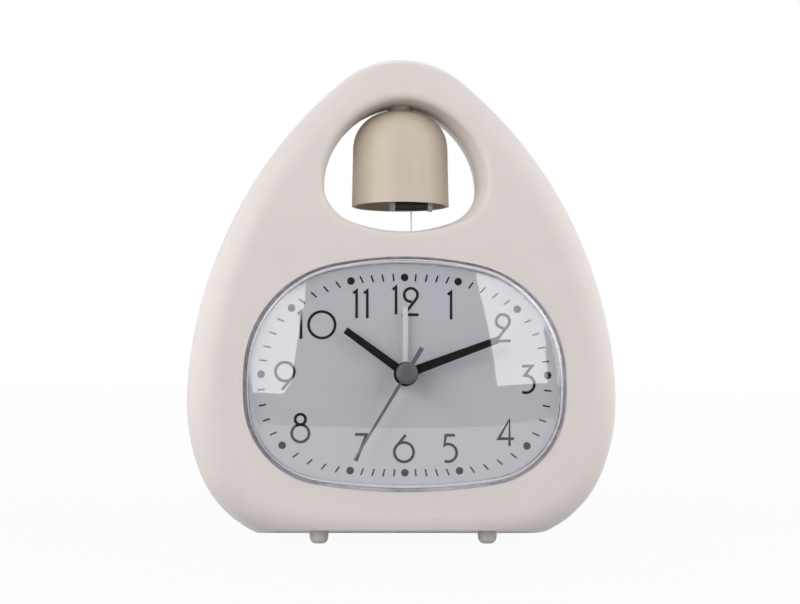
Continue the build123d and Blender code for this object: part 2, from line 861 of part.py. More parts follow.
movement_case = prism(case_face(0), dial_back, cover_inner)
movement_case -= prism(case_face(case_wall), case_inner, cover_inner)
movement_cover = prism(case_face(0), cover_inner, cover_back)
corner_x = case_half_width - case_wall - corner_post_inset
corner_spots = both_sides((corner_x, case_high - case_wall - corner_post_inset))
corner_spots += both_sides((corner_x, case_low + case_wall + corner_post_inset))
cover_screws = Part()
for spot in corner_spots:
    movement_case += disc(corner_post_radius, case_inner - case_wall / 2, cover_inner, spot)
    bore_end = cover_back - cover_screw_length - bore_gap
    movement_case -= disc(cover_screw_radius + bore_gap, bore_end, cover_inner, spot)
    movement_cover -= disc(cover_screw_radius + bore_gap, cover_inner, cover_back, spot)
    cover_screws += disc(cover_screw_radius, cover_back - cover_screw_length, cover_back, spot)
    cover_screws += disc(cover_screw_head, cover_back, cover_back + cover_head_thickness, spot)

# Ears on the case, screwed to posts on the back of the dial plate
ear_front = dial_back + ear_stand
movement_screws = Part()
for side in (1, -1):
    for offset in (ear_offset, -ear_offset):
        spot = (side * (case_half_width + ear_length / 2), dial_height + offset)
        inner_x, outer_x = case_half_width - case_wall / 2, case_half_width + ear_length
        ends = sorted((side * inner_x, side * outer_x))
        ear = block(ends, (ear_front, ear_front + ear_thickness), (spot[1] - ear_half, spot[1] + ear_half))
        movement_case += ear - disc(ear_screw_radius + bore_gap, ear_front, ear_front + ear_thickness, spot)
        dial_plate += disc(ear_post_radius, dial_back - dial_thickness / 2, ear_front, spot)
        ear_back = ear_front + ear_thickness
        hole_front = ear_back - ear_screw_length
        dial_plate -= disc(ear_screw_radius + bore_gap, hole_front - bore_gap, ear_front, spot)
        movement_screws += disc(ear_screw_radius, hole_front, ear_back, spot)
        movement_screws += disc(ear_screw_head, ear_back, ear_back + ear_head_thickness, spot)

# Pivot holes and passages
movement_case -= disc(alarm_pipe + bore_gap, -half_span, case_inner, centre_spot)
dial_plate -= disc(alarm_pipe + dial_hole_gap, -half_span, dial_back, centre_spot)
for spot, radius in ((third_spot, arbor_radius), (motion_spot, shaft_radius), (alarm_spot, shaft_radius)):
    movement_case -= disc(radius + bore_gap, front_pivot - bore_gap, case_inner, spot)
for spot, radius in (
        (centre_spot, second_arbor_radius), (third_spot, arbor_radius),
        (inter_spot, arbor_radius), (rotor_spot, arbor_radius)):
    movement_cover -= disc(radius + bore_gap, cover_inner, back_pivot + bore_gap, spot)
for spot in (motion_spot, alarm_spot):
    movement_cover -= disc(shaft_radius + bore_gap, cover_inner, cover_back, spot)

# Train plate between the wheels of the motor and those of the hands
plate_half = case_half_width - case_wall - plate_margin
plate_low = dial_height - plate_drop
plate_high = case_high - case_wall - plate_margin - 2 * corner_post_inset
train_plate = block((-plate_half, plate_half), (plate_front, plate_back), (plate_low, plate_high))
for spot, radius in (
        (centre_spot, second_arbor_radius), (third_spot, arbor_radius), (inter_spot, arbor_radius),
        (rotor_spot, arbor_radius), (motion_spot, shaft_radius), (alarm_spot, shaft_radius)):
    train_plate -= disc(radius + bore_gap, plate_front, plate_back, spot)
for x in (plate_post_x, -plate_post_x):
    for z in (dial_height + plate_post_z, dial_height - plate_post_z):
        movement_case += disc(plate_post_radius, case_inner - case_wall / 2, plate_front, (x, z))
        movement_cover += disc(plate_post_radius, plate_back, cover_inner, (x, z))

# Motor: stator on the train plate, wound coil on its core
stator_back = plate_back + stator_thickness


def from_axis(x_range, z_range):
    spans = [dial_height - z_range[1], dial_height - z_range[0]]
    centre = ((x_range[0] + x_range[1]) / 2, (spans[0] + spans[1]) / 2)
    return Pos(*centre) * Rectangle(x_range[1] - x_range[0], spans[1] - spans[0])


leg_end = motor_coil_height + motor_core_height
stator_face = from_axis((-stator_left, stator_right), (stator_top, stator_bottom))
stator_face += from_axis((-stator_left, -stator_left + stator_leg), (stator_top, leg_end))
stator_face += from_axis((stator_right - stator_leg, stator_right), (stator_top, leg_end))
stator_face += Pos(*rotor_spot) * Circle(stator_ring)
stator_face -= Pos(*rotor_spot) * Circle(magnet_radius + magnet_gap)
motor_stator = prism(stator_face, plate_back, stator_back)
core_half = motor_core_height / 2
core_zs = (dial_height - motor_coil_height - core_half, dial_height - motor_coil_height + core_half)
motor_core = block((-stator_left, stator_right), (stator_back, stator_back + motor_core_depth), core_zs)
coil_x = (-stator_left + stator_leg + motor_coil_margin, stator_right - stator_leg - motor_coil_margin)
coil_depth = stator_back + motor_core_depth / 2
coil_middle = ((coil_x[0] + coil_x[1]) / 2, coil_depth, dial_height - motor_coil_height)
motor_coil = Pos(*coil_middle) * Rot(0, 90, 0) * Cylinder(motor_coil_radius, coil_x[1] - coil_x[0])
motor_coil -= motor_core

# Circuit board on the inside of the cover
board_front = cover_inner - board_thickness
circuit_board = block(
    (-board_half_width, board_half_width), (board_front, cover_inner),
    (dial_height + board_low, dial_height + board_high))
board_middle = dial_height + (board_low + board_high) / 2
circuit_board += disc(chip_radius, board_front - chip_height, board_front, (chip_place, board_middle))
crystal_middle = (-crystal_place, board_front - crystal_radius, board_middle)
quartz_crystal = Pos(*crystal_middle) * Rot(0, 90, 0) * Cylinder(crystal_radius, crystal_length)


# Hands
def turned(part, angle):
    """Turns a piece about the dial axis, clockwise as the clock is read."""
    return Pos(0, 0, dial_height) * Rot(0, angle, 0) * Pos(0, 0, -dial_height) * part


def hand_blade(length, root, tip, y_front):
    marks = [(-root / 2, dial_height), (-tip / 2, dial_height + length),
             (tip / 2, dial_height + length), (root / 2, dial_height)]
    return prism(make_face(Polyline(*marks, close=True)), y_front, y_front + hand_thickness)


def hand(length, root, tip, hub, bore, y_back, angle):
    """Tapered hand whose hub reaches forward from y_back."""
    blade = hand_blade(length, root, tip, y_back - hand_thickness)
    blade += disc(hub, y_back - hub_thickness, y_back, centre_spot)
    return turned(blade - disc(bore + press_gap, -half_span, half_span, centre_spot), angle)


alarm_hand = hand(
    alarm_hand_length, alarm_hand_width, alarm_hand_width,
    alarm_hub_radius, alarm_pipe, alarm_hand_y, alarm_angle)
hour_hand = hand(
    hour_hand_length, hour_hand_root, hour_hand_tip, hour_hub_radius, hour_pipe, hour_hand_y, hour_angle)
minute_hand = hand(
    minute_hand_length, minute_hand_root, minute_hand_tip,
    minute_hub_radius, minute_pipe, minute_hand_y, minute_angle)
second_hand = hand(
    second_hand_length, second_hand_root, second_hand_tip, second_hub_radius, second_arbor_radius,
    second_hand_y, second_angle)
tail = hand_blade(second_tail_length, second_hand_root, second_tail_width, second_hand_y - hand_thickness)
tail -= disc(second_arbor_radius + press_gap, -half_span, half_span, centre_spot)
second_hand += turned(tail, second_angle + 180)
cap_back = second_hand_y - hub_thickness
second_cap = disc(cap_radius, cap_back - cap_height, cap_back, centre_spot)
cap_rim = second_cap.edges().sort_by(Axis.Y)[0]
second_cap = fillet(cap_rim, cap_round)


# Knobs
def knob(spot):
    """Fluted knob with a stem that reaches into the rear shell."""
    marks = []
    for count in range(2 * knob_flutes):
        radius = knob_radius - (count % 2) * knob_flute_depth
        turn = pi * count / knob_flutes
        marks.append((spot[0] + radius * cos(turn), spot[1] + radius * sin(turn)))
    back = knob_front + knob_length
    body = prism(make_face(Polyline(*marks, close=True)), knob_front, back - knob_edge)
    body += disc(knob_radius - knob_flute_depth - knob_edge, back - knob_edge, back, spot)
    body += disc(knob_stem_radius, rear_inner, knob_front, spot)
    return body - disc(shaft_radius + press_gap, rear_inner, shaft_end, spot)


time_knob = knob(motion_spot)
alarm_knob = knob(alarm_spot)
for spot in (motion_spot, alarm_spot):
    rear_shell -= disc(knob_stem_radius + knob_hole_gap, 0, rear_depth + overrun, spot)

# Alarm switch: a grip through a slot, on a plate that slides between the wall and the switch body
switch_start = switch_place - switch_travel / 2
grip_half = switch_grip_length / 2


def switch_z(height):
    return (switch_height - height / 2, switch_height + height / 2)


plate_out = rear_inner - switch_gap
plate_in = plate_out - switch_plate_thickness
grip_x = (switch_start - grip_half, switch_start + grip_half)
slider_half = switch_plate_length / 2
alarm_switch = block(
    (switch_start - slider_half, switch_start + slider_half),
    (plate_in, plate_out), switch_z(switch_plate_height))
grip_top = rear_depth + switch_grip_rise
alarm_switch += block(grip_x, (plate_in, grip_top), switch_z(switch_grip_height))
rib_x = (switch_start - switch_rib_half, switch_start + switch_rib_half)
alarm_switch += block(rib_x, (plate_in, grip_top + switch_rib_rise), switch_z(switch_grip_height))
slot_half = grip_half + switch_travel / 2 + switch_gap
rear_shell -= block(
    (switch_place - slot_half, switch_place + slot_half), (rear_inner - wall, rear_depth + overrun),
    switch_z(switch_grip_height + 2 * switch_gap))
body_out = plate_in - switch_gap
switch_body = block(
    (switch_place - switch_body_half, switch_place + switch_body_half),
    (body_out - switch_body_depth, body_out),
    switch_z(switch_body_height))
for side in (1, -1):
    leg_inner = switch_place + side * (switch_body_half - switch_leg)
    ends = sorted((leg_inner, switch_place + side * switch_body_half))
    switch_body += block(ends, (body_out - switch_body_depth, rear_inner), switch_z(switch_body_height))

# Battery bay in the rear shell, with its door, spring and contact
bay_half_height = battery_radius + tray_gap
bay_left = -battery_length / 2 - tray_left_room
bay_right = battery_length / 2 + battery_nub_length + contact_thickness
bay_zs = (battery_height - bay_half_height, battery_height + bay_half_height)
bay_floor = battery_depth - battery_radius - press_gap
bay_outer = block(
    (bay_left - tray_wall, bay_right + tray_wall), (bay_floor - tray_wall, rear_inner + wall / 2),
    (bay_zs[0] - tray_wall, bay_zs[1] + tray_wall))
door_inner = rear_depth - door_thickness
door_xs = (bay_left - door_ledge, bay_right + door_ledge)
door_zs = (bay_zs[0] - door_ledge, bay_zs[1] + door_ledge)
rear_shell += bay_outer
rear_shell -= block((bay_left, bay_right), (bay_floor, rear_depth + overrun), bay_zs)
rear_shell -= block(
    (door_xs[0] - door_gap, door_xs[1] + door_gap), (door_inner, rear_depth + overrun),
    (door_zs[0] - door_gap, door_zs[1] + door_gap))
battery_door = block(door_xs, (door_inner, rear_depth), door_zs)
for count in (-1, 0, 1):
    slot_z = battery_height + count * door_slot_pitch
    battery_door -= block(
        (-door_slot_half, door_slot_half), (rear_depth - door_slot_depth, rear_depth + overrun),
        (slot_z - door_slot_height / 2, slot_z + door_slot_height / 2))


def along_x(radius, x_low, x_high):
    middle = Pos((x_low + x_high) / 2, battery_depth, battery_height)
    return middle * Rot(0, 90, 0) * Cylinder(radius, x_high - x_low)


battery_half = battery_length / 2
battery = along_x(battery_radius, -battery_half, battery_half)
battery = fillet(battery.edges().filter_by(GeomType.CIRCLE), battery_edge)
battery += along_x(battery_nub_radius, 0, battery_half + battery_nub_length)
contact_left = bay_right - contact_thickness
battery_contact = block(
    (contact_left, bay_right), (battery_depth - contact_half, battery_depth + contact_half),
    (battery_height - contact_half, battery_height + contact_half))
spring_length = tray_left_room - contact_thickness - 2 * spring_wire
spring_backing = block(
    (bay_left, bay_left + contact_thickness), (battery_depth - contact_half, battery_depth + contact_half),
    (battery_height - contact_half, battery_height + contact_half))
spring_path = Helix(spring_length / spring_turns, spring_length, spring_large)
spring_end = Plane(spring_path @ 0, z_dir=spring_path % 0)
spring_coil = sweep(spring_end * Circle(spring_wire), path=spring_path, is_frenet=True)
spring_place = Pos(bay_left + contact_thickness + spring_wire, battery_depth, battery_height) * Rot(0, 90, 0)
battery_spring = spring_backing + spring_place * spring_coil

nodes = {
    "front_shell": front_shell, "rear_shell": rear_shell, "shell_screws": shell_screws,
    "foot_left": foot_left, "foot_right": foot_right,
    "dial_lens": dial_lens, "dial_plate": dial_plate, "dial_screws": dial_screws,
    "bell": bell, "bell_hanger": bell_hanger, "bell_screw": bell_screw,
    "striker_lever": striker_lever, "striker_armature": striker_armature, "striker_wire": striker_wire,
    "striker_head": striker_head, "striker_ends": striker_ends, "striker_frame": striker_frame,
    "striker_pin": striker_pin, "striker_core": striker_core, "striker_coil": striker_coil,
    "frame_screws": frame_screws,
    "movement_case": movement_case, "movement_cover": movement_cover, "movement_screws": movement_screws,
    "cover_screws": cover_screws, "train_plate": train_plate,
    "second_wheel": second_wheel, "third_wheel": third_wheel, "centre_wheel": centre_wheel,
    "motion_wheel": motion_wheel, "hour_wheel": hour_wheel, "alarm_wheel": alarm_wheel,
    "alarm_shaft": alarm_shaft, "intermediate_wheel": inter_wheel, "motor_rotor": rotor,
    "motor_stator": motor_stator, "motor_core": motor_core, "motor_coil": motor_coil,
    "circuit_board": circuit_board, "quartz_crystal": quartz_crystal,
    "alarm_hand": alarm_hand, "hour_hand": hour_hand, "minute_hand": minute_hand,
    "second_hand": second_hand, "second_cap": second_cap,
    "time_knob": time_knob, "alarm_knob": alarm_knob,
    "alarm_switch": alarm_switch, "switch_body": switch_body,
    "battery": battery, "battery_door": battery_door, "battery_spring": battery_spring,
    "battery_contact": battery_contact,
}

# The clock leans back on its two feet and its heel; the origin lies under the middle of its extent
standing = Rot(-lean_angle, 0, 0) * Pos(0, -heel_depth, 0)
leaned = {name: standing * part for name, part in nodes.items()}
extents = [part.bounding_box() for part in leaned.values()]
middle_y = (min(box.min.Y for box in extents) + max(box.max.Y for box in extents)) / 2
seat = Pos(0, -middle_y, 0)

for name, part in leaned.items():
    export_step(seat * part, "parts/" + name + ".step")
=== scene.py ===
import json
from math import cos, hypot, pi, radians, sin

import bmesh
import bpy
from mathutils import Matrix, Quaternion, Vector


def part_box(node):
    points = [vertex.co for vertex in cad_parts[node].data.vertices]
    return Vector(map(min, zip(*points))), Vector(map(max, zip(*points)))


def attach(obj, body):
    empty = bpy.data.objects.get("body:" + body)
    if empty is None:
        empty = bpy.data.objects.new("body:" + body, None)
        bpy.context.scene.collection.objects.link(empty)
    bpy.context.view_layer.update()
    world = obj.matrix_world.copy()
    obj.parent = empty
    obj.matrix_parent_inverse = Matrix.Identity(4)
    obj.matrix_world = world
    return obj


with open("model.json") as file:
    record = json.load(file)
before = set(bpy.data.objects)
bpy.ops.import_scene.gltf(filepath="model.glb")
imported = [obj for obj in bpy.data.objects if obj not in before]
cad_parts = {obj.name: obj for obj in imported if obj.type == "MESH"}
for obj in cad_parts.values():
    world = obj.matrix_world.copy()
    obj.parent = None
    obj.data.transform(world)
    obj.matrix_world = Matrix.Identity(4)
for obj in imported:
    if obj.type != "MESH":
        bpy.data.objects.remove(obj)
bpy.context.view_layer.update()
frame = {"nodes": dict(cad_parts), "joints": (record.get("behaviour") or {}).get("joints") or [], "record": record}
scene = bpy.context.scene
nodes = frame["nodes"]
MM = 0.001

# The leaning housing's own axes, taken from the second hand's hinge
hinge = next(j for j in frame["joints"] if j["name"] == "second_hand_turn")
dial_axis = Vector(hinge["pos_m"])
across = Vector((1, 0, 0))
inward = Vector(hinge["axis"]).normalized()
upward = across.cross(inward)

# Camera; angles in degrees, distances in metres
PHOTO_WIDTH = 800
FOCAL_PIXELS = 3955
SENSOR = 36.0
CAMERA_DISTANCE = 1.333
CAMERA_AZIMUTH = -5.0
CAMERA_ELEVATION = 4.3
CAMERA_ROLL = 0.6
CAMERA_CLIP = (0.05, 60)
DIAL_PIXEL_OFFSET = (5.4, 72.8)

# Light
AMBIENT = 0.03
BOX_RADIANCE = 3.9
LEFT_RADIANCE = 2.9
RIGHT_RADIANCE = 2.6
RIM_RADIANCE = 1.25
BACK_RADIANCE = 1.8
TOP_RADIANCE = 0.05

# Floor and flag, in metres; the floor's white share grows with the distance from the clock
FLOOR_HALF = 6.0
FLOOR_DROP = 0.0002
FLOOR_SHADE = 0.50
FLOOR_ROUGH = 0.8
WHITE_REACH = (0.1, 0.8)
WHITE_SHARE = (0.95, 1.0)
FLAG_FEET = [(-6.0, -5.0, 0.24), (-0.7, -1.4, 0), (0.7, -1.4, 0), (6.0, -5.0, 0.24)]
FLAG_TOP = 4.0
FLAG_SHADE = 0.012

# Lens
LENS_IOR = 1.49
LENS_ROUGH = 0.012
EDGE_SLOPES = (0.35, 0.85)

# Painted shadow line along the parting line of the two shells, standing in for the shade in the gap between them,
# in millimetres
SEAM_SHADOW_HALF = 0.14
SEAM_SHADOW_FADE = 0.26
SEAM_SHADOW_STRENGTH = 0.85
SEAM_SHADOW_COLOUR = (0.20, 0.135, 0.10)

# Battery wrap: the copper end's share of the length, and the blend to black in metres
COPPER_SHARE = 0.30
WRAP_BLEND = 0.0002
WRAP_COPPER = (0.55, 0.25, 0.10)
WRAP_BLACK = (0.02, 0.02, 0.022)

COAT_ROUGH = 0.15

# Print on the dial, in millimetres from the hands' axis
DIAL_PLANE = -16.0
PRINT_RISE = 0.04
PRINT_SINK = 0.02
STROKE = 0.95
DOT_RADIUS = 1.28
TICK_LENGTH = 2.5
TICK_WIDTH = 0.54
ARC_STEP = radians(7.5)
MITRE_LEAST = 0.2
TWO_CURL = 280
HOUR_DOTS = [(0, 32.8), (18.1, 31.5), (38.1, 22.3), (48.3, 0), (41.2, -23.8), (18.4, -32.2), (0, -32.9)]
MINUTE_MARKS = [
    [(3.75, 32.7), (7.35, 32.55), (10.9, 32.3), (14.5, 31.95)],
    [(22.4, 30.2), (26.5, 28.7), (30.6, 26.8), (34.6, 24.6)],
    [(41.7, 18.2), (44.3, 13.8), (46.3, 9.25), (47.6, 4.6)],
    [(48.3, -5.2), (47.8, -10.4), (46.5, -15.3), (44.2, -19.9)],
    [(36.7, -27.1), (32.0, -29.3), (27.3, -30.9), (22.7, -31.8)],
    [(14.4, -32.6), (10.7, -32.8), (7.1, -32.9), (3.6, -32.9)],
]

# Print on the back, in millimetres
REAR_START = 60.0
MARK_RISE = 0.06
MARK_SINK = 0.06
MARK_WIDTH = 0.55
SIGN_LIFT = 11.5
SWITCH_SIGN = 8.6


def place(x, y, z):
    """A point in metres from millimetres in the housing's axes.

    x is right, y is back from the parting plane, and z is up from the hands' axis.
    """
    return dial_axis + across * (x * MM) + inward * (y * MM) + upward * (z * MM)


def bearing(azimuth, elevation):
    """A unit vector away from the clock, from degrees; azimuth 0 is the front."""
    a, e = radians(azimuth), radians(elevation)
    return Vector((sin(a) * cos(e), -cos(a) * cos(e), sin(e)))


def middle(node):
    """A node's middle, in millimetres from the hands' axis."""
    low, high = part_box(node)
    away = (low + high) / 2 - dial_axis
    return away.dot(across) / MM, away.dot(upward) / MM


# Strokes: lists of (points, closed)


def arc(cx, cz, radius, start, end):
    """Points along a circle, angles in degrees anticlockwise from the right."""
    start, end = radians(start), radians(end)
    count = max(2, int(abs(end - start) / ARC_STEP) + 1)
    turns = [start + (end - start) * i / count for i in range(count + 1)]
    return [(cx + radius * cos(t), cz + radius * sin(t)) for t in turns]


def one(x, z):
    """The numeral 1: a plain stem with a short flag."""
    return [([(x - 1.15, z + 3.65), (x, z + 4.6), (x, z - 4.7)], False)]


def two(x, z):
    """The numeral 2: a round bowl, a straight leg and a flat foot."""
    bowl = arc(x, z + 2.4, 2.25, TWO_CURL, -38)
    return [(bowl + [(x - 2.3, z - 4.25), (x + 2.6, z - 4.25)], False)]


def ring(x, z, radius):
    """A closed ring."""
    return [(arc(x, z, radius, 0, 360)[:-1], True)]


NUMERALS = {
    "1": one(15.7, 23.4),
    "2": two(33.2, 15.8),
    "3": [([(39.6, 3.1), (43.0, 3.1), (40.5, -0.1)] + arc(40.9, -3.0, 2.9, 85, -115), False)],
    "4": [([(35.3, -23.8), (35.3, -14.9), (31.6, -21.4), (36.8, -21.4)], False)],
    "5": [([(16.9, -20.3), (13.8, -20.3), (13.3, -23.7)] + arc(14.5, -26.2, 2.95, 106, -112), False)],
    "6": ring(-0.3, -26.0, 3.25) + [([(-2.9, -24.1), (0.3, -20.2)], False)],
    "7": [([(-16.8, -20.1), (-12.9, -20.1), (-16.4, -29.0)], False)],
    "8": ring(-35.1, -15.1, 1.75) + ring(-35.1, -19.8, 2.9),
    "9": ring(-40.3, 0.9, 3.15) + [([(-37.6, -0.8), (-41.3, -5.2)], False)],
    "10": one(-34.9, 16.6) + ring(-27.9, 16.7, 4.45),
    "11": one(-16.2, 23.7) + one(-12.6, 23.7),
    "12": one(-2.9, 25.0) + two(2.1, 24.5),
}

# Signs round their own middles: the way a knob turns, a clock, a bell, on and off
TURN = arc(0, 0, 8.0, -60, 60)
TIP_X, TIP_Z = TURN[-1]
ARROW_HEAD = [(TIP_X + 2.0, TIP_Z + 0.2), (TIP_X, TIP_Z), (TIP_X + 0.8, TIP_Z - 1.8)]
TURN_SIGN = [(TURN, False), (ARROW_HEAD, False)]
CLOCK_SIGN = ring(0, 0, 2.2) + [([(0, 1.4), (0, 0), (-1.0, 0)], False)]
BELL_SIGN = [
    ([(-2.2, -1.3), (-1.6, -0.6)] + arc(0, 0.5, 1.6, 180, 0) + [(1.6, -0.6), (2.2, -1.3)], True),
    ([(-0.5, -2.2), (0.5, -2.2)], False),
]
ON_SIGN = [([(0, -1.3), (0, 1.3)], False)]
OFF_SIGN = ring(0, 0, 1.2)


def beside(node, sign, x=0, z=0):
    """A sign's strokes, set off from a node's middle."""
    node_x, node_z = middle(node)
    x, z = node_x + x, node_z + z
    return [([(x + px, z + pz) for px, pz in points], closed) for points, closed in sign]


def dial_lay(x, z):
    """The top and the foot of the print at a place on the dial."""
    return place(x, DIAL_PLANE - PRINT_RISE, z), place(x, DIAL_PLANE + PRINT_SINK, z)


def rear_lay(x, z):
    """The top and the foot of the print at a place on the back."""
    back = nodes["rear_shell"].ray_cast(place(x, REAR_START, z), -inward)[1]
    return back + inward * (MARK_RISE * MM), back - inward * (MARK_SINK * MM)


def ribbon(verts, faces, points, closed, width, lay=dial_lay):
    """Adds a flat stroke of constant width along the points, with mitred corners."""
    count, half = len(points), width / 2
    first = len(verts)
    for i, (x, z) in enumerate(points):
        before = points[i - 1] if closed or i else None
        after = points[(i + 1) % count] if closed or i < count - 1 else None
        sides = []
        if before is not None:
            run = hypot(x - before[0], z - before[1])
            sides.append(((before[1] - z) / run, (x - before[0]) / run))
        if after is not None:
            run = hypot(after[0] - x, after[1] - z)
            sides.append(((z - after[1]) / run, (after[0] - x) / run))
        nx, nz = (sum(s[k] for s in sides) / len(sides) for k in (0, 1))
        reach = half / max(nx * nx + nz * nz, MITRE_LEAST)
        for side in (1, -1):
            verts += lay(x + side * nx * reach, z + side * nz * reach)
    spans = count if closed else count - 1
    for i in range(spans):
        a, b = first + 4 * i, first + 4 * ((i + 1) % count)
        faces += [(a, b, b + 2, a + 2), (a + 1, a + 3, b + 3, b + 1)]
        faces += [(a, a + 1, b + 1, b), (a + 2, b + 2, b + 3, a + 3)]
    if not closed:
        last = first + 4 * (count - 1)
        faces += [(first, first + 2, first + 3, first + 1), (last, last + 1, last + 3, last + 2)]


def spot(verts, faces, x, z, radius):
    """Adds a flat round spot."""
    first = len(verts)
    points = arc(x, z, radius, 0, 360)[:-1]
    count = len(points)
    for rise in (DIAL_PLANE - PRINT_RISE, DIAL_PLANE + PRINT_SINK):
        verts += [place(px, rise, pz) for px, pz in points]
    faces.append(tuple(range(first, first + count)))
    faces.append(tuple(range(first + 2 * count - 1, first + count - 1, -1)))
    for i in range(count):
        j = (i + 1) % count
        faces.append((first + j, first + i, first + count + i, first + count + j))


def piece(name, verts, faces, body, material):
    """A mesh piece that rides on a body."""
    mesh = bpy.data.meshes.new(name)
    mesh.from_pydata(verts, [], faces)
    mesh.validate()
    sides = bmesh.new()
    sides.from_mesh(mesh)
    bmesh.ops.recalc_face_normals(sides, faces=sides.faces)
    sides.to_mesh(mesh)
    sides.free()
    mesh.update()
    made = bpy.data.objects.new(name, mesh)
    scene.collection.objects.link(made)
    mesh.materials.append(material)
    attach(made, body)


# Materials


def new_material(name):
    """A material, its node tree and its main shader."""
    made = bpy.data.materials.new(name)
    made.use_nodes = True
    return made, made.node_tree, made.node_tree.nodes["Principled BSDF"]


def noise(tree, scale, detail=3.0, stretch=(1, 1, 1)):
    """Noise in the object's own metres; scale is waves per metre."""
    source = tree.nodes.new("ShaderNodeTexCoord")
    mapping = tree.nodes.new("ShaderNodeMapping")
    mapping.inputs["Scale"].default_value = stretch
    texture = tree.nodes.new("ShaderNodeTexNoise")
    texture.inputs["Scale"].default_value = scale
    texture.inputs["Detail"].default_value = detail
    tree.links.new(source.outputs["Object"], mapping.inputs["Vector"])
    tree.links.new(mapping.outputs["Vector"], texture.inputs["Vector"])
    return texture.outputs["Fac"]


def ramp(tree, fac, stops):
    """A colour ramp over fac; stops are (place, colour)."""
    made = tree.nodes.new("ShaderNodeValToRGB")
    line = made.color_ramp.elements
    while len(line) < len(stops):
        line.new(0.5)
    for element, (at, colour) in zip(line, stops):
        element.position = at
        element.color = (*colour, 1)
    tree.links.new(fac, made.inputs["Fac"])
    return made.outputs["Color"]


def reckon(tree, operation, *values):
    """The result of a maths node; values are sockets or numbers."""
    made = tree.nodes.new("ShaderNodeMath")
    made.operation = operation
    for socket, value in zip(made.inputs, values):
        if isinstance(value, float):
            socket.default_value = value
        else:
            tree.links.new(value, socket)
    return made.outputs["Value"]


def remap(tree, value, low, high, start, end):
    """A value moved from the range low to high into the range start to end."""
    made = tree.nodes.new("ShaderNodeMapRange")
    made.inputs["From Min"].default_value = low
    made.inputs["From Max"].default_value = high
    made.inputs["To Min"].default_value = start
    made.inputs["To Max"].default_value = end
    tree.links.new(value, made.inputs["Value"])
    return made.outputs["Result"]


def along_inward(tree, vector):
    """How far a vector reaches along the hands' axis."""
    made = tree.nodes.new("ShaderNodeVectorMath")
    made.operation = "DOT_PRODUCT"
    made.inputs[1].default_value = inward
    tree.links.new(vector, made.inputs[0])
    return made.outputs["Value"]


def seen_directly(tree):
    """1 for rays from the camera, off a gloss or through the lens, and 0 for other rays."""
    path = tree.nodes.new("ShaderNodeLightPath")
    seen = reckon(tree, "MAXIMUM", path.outputs["Is Camera Ray"], path.outputs["Is Glossy Ray"])
    return reckon(tree, "MAXIMUM", seen, path.outputs["Is Transmission Ray"])


def show_mix(tree, share, first, second):
    """Makes a mix of two shaders the material's surface."""
    mix = tree.nodes.new("ShaderNodeMixShader")
    tree.links.new(share, mix.inputs["Fac"])
    tree.links.new(first, mix.inputs[1])
    tree.links.new(second, mix.inputs[2])
    tree.links.new(mix.outputs["Shader"], tree.nodes["Material Output"].inputs["Surface"])


def shade(colour, factor):
    """A colour made lighter or darker."""
    return tuple(min(1.0, c * factor) for c in colour)


def surface(name, colour, rough, blotch=120, spread=0.03, rough_spread=0.05, grain=5000, bump=0.02,
            depth=0.00004, metal=0.0, coat=0.0, specular=0.5, stretch=(1, 1, 1)):
    """A moulded, painted or metal surface with faint mottling, uneven gloss and a fine grain."""
    made, tree, shader = new_material(name)
    mottle = noise(tree, blotch, stretch=stretch)
    tones = [(0.3, shade(colour, 1 - spread)), (0.7, shade(colour, 1 + spread))]
    tree.links.new(ramp(tree, mottle, tones), shader.inputs["Base Color"])
    gloss = remap(tree, mottle, 0.0, 1.0, rough - rough_spread, rough + rough_spread)
    tree.links.new(gloss, shader.inputs["Roughness"])
    fine = noise(tree, grain, detail=2.0, stretch=stretch)
    relief = tree.nodes.new("ShaderNodeBump")
    relief.inputs["Strength"].default_value = bump
    relief.inputs["Distance"].default_value = depth
    tree.links.new(fine, relief.inputs["Height"])
    tree.links.new(relief.outputs["Normal"], shader.inputs["Normal"])
    shader.inputs["Metallic"].default_value = metal
    shader.inputs["Coat Weight"].default_value = coat
    shader.inputs["Coat Roughness"].default_value = COAT_ROUGH
    shader.inputs["Specular IOR Level"].default_value = specular
    return made


def clear_plastic(name, tint, edge_tint):
    """Clear moulded plastic, bluer through its steep edge, that lets lamps through to what is behind it."""
    made, tree, shader = new_material(name)
    source = tree.nodes.new("ShaderNodeTexCoord")
    slope = reckon(tree, "ABSOLUTE", along_inward(tree, source.outputs["Normal"]))
    tints = ramp(tree, slope, [(EDGE_SLOPES[0], edge_tint), (EDGE_SLOPES[1], tint)])
    tree.links.new(tints, shader.inputs["Base Color"])
    shader.inputs["Transmission Weight"].default_value = 1.0
    shader.inputs["IOR"].default_value = LENS_IOR
    shader.inputs["Roughness"].default_value = LENS_ROUGH
    path = tree.nodes.new("ShaderNodeLightPath")
    passed = reckon(tree, "MAXIMUM", path.outputs["Is Shadow Ray"], path.outputs["Is Diffuse Ray"])
    open_way = tree.nodes.new("ShaderNodeBsdfTransparent")
    open_way.inputs["Color"].default_value = (*tint, 1)
    show_mix(tree, passed, shader.outputs["BSDF"], open_way.outputs["BSDF"])
    return made


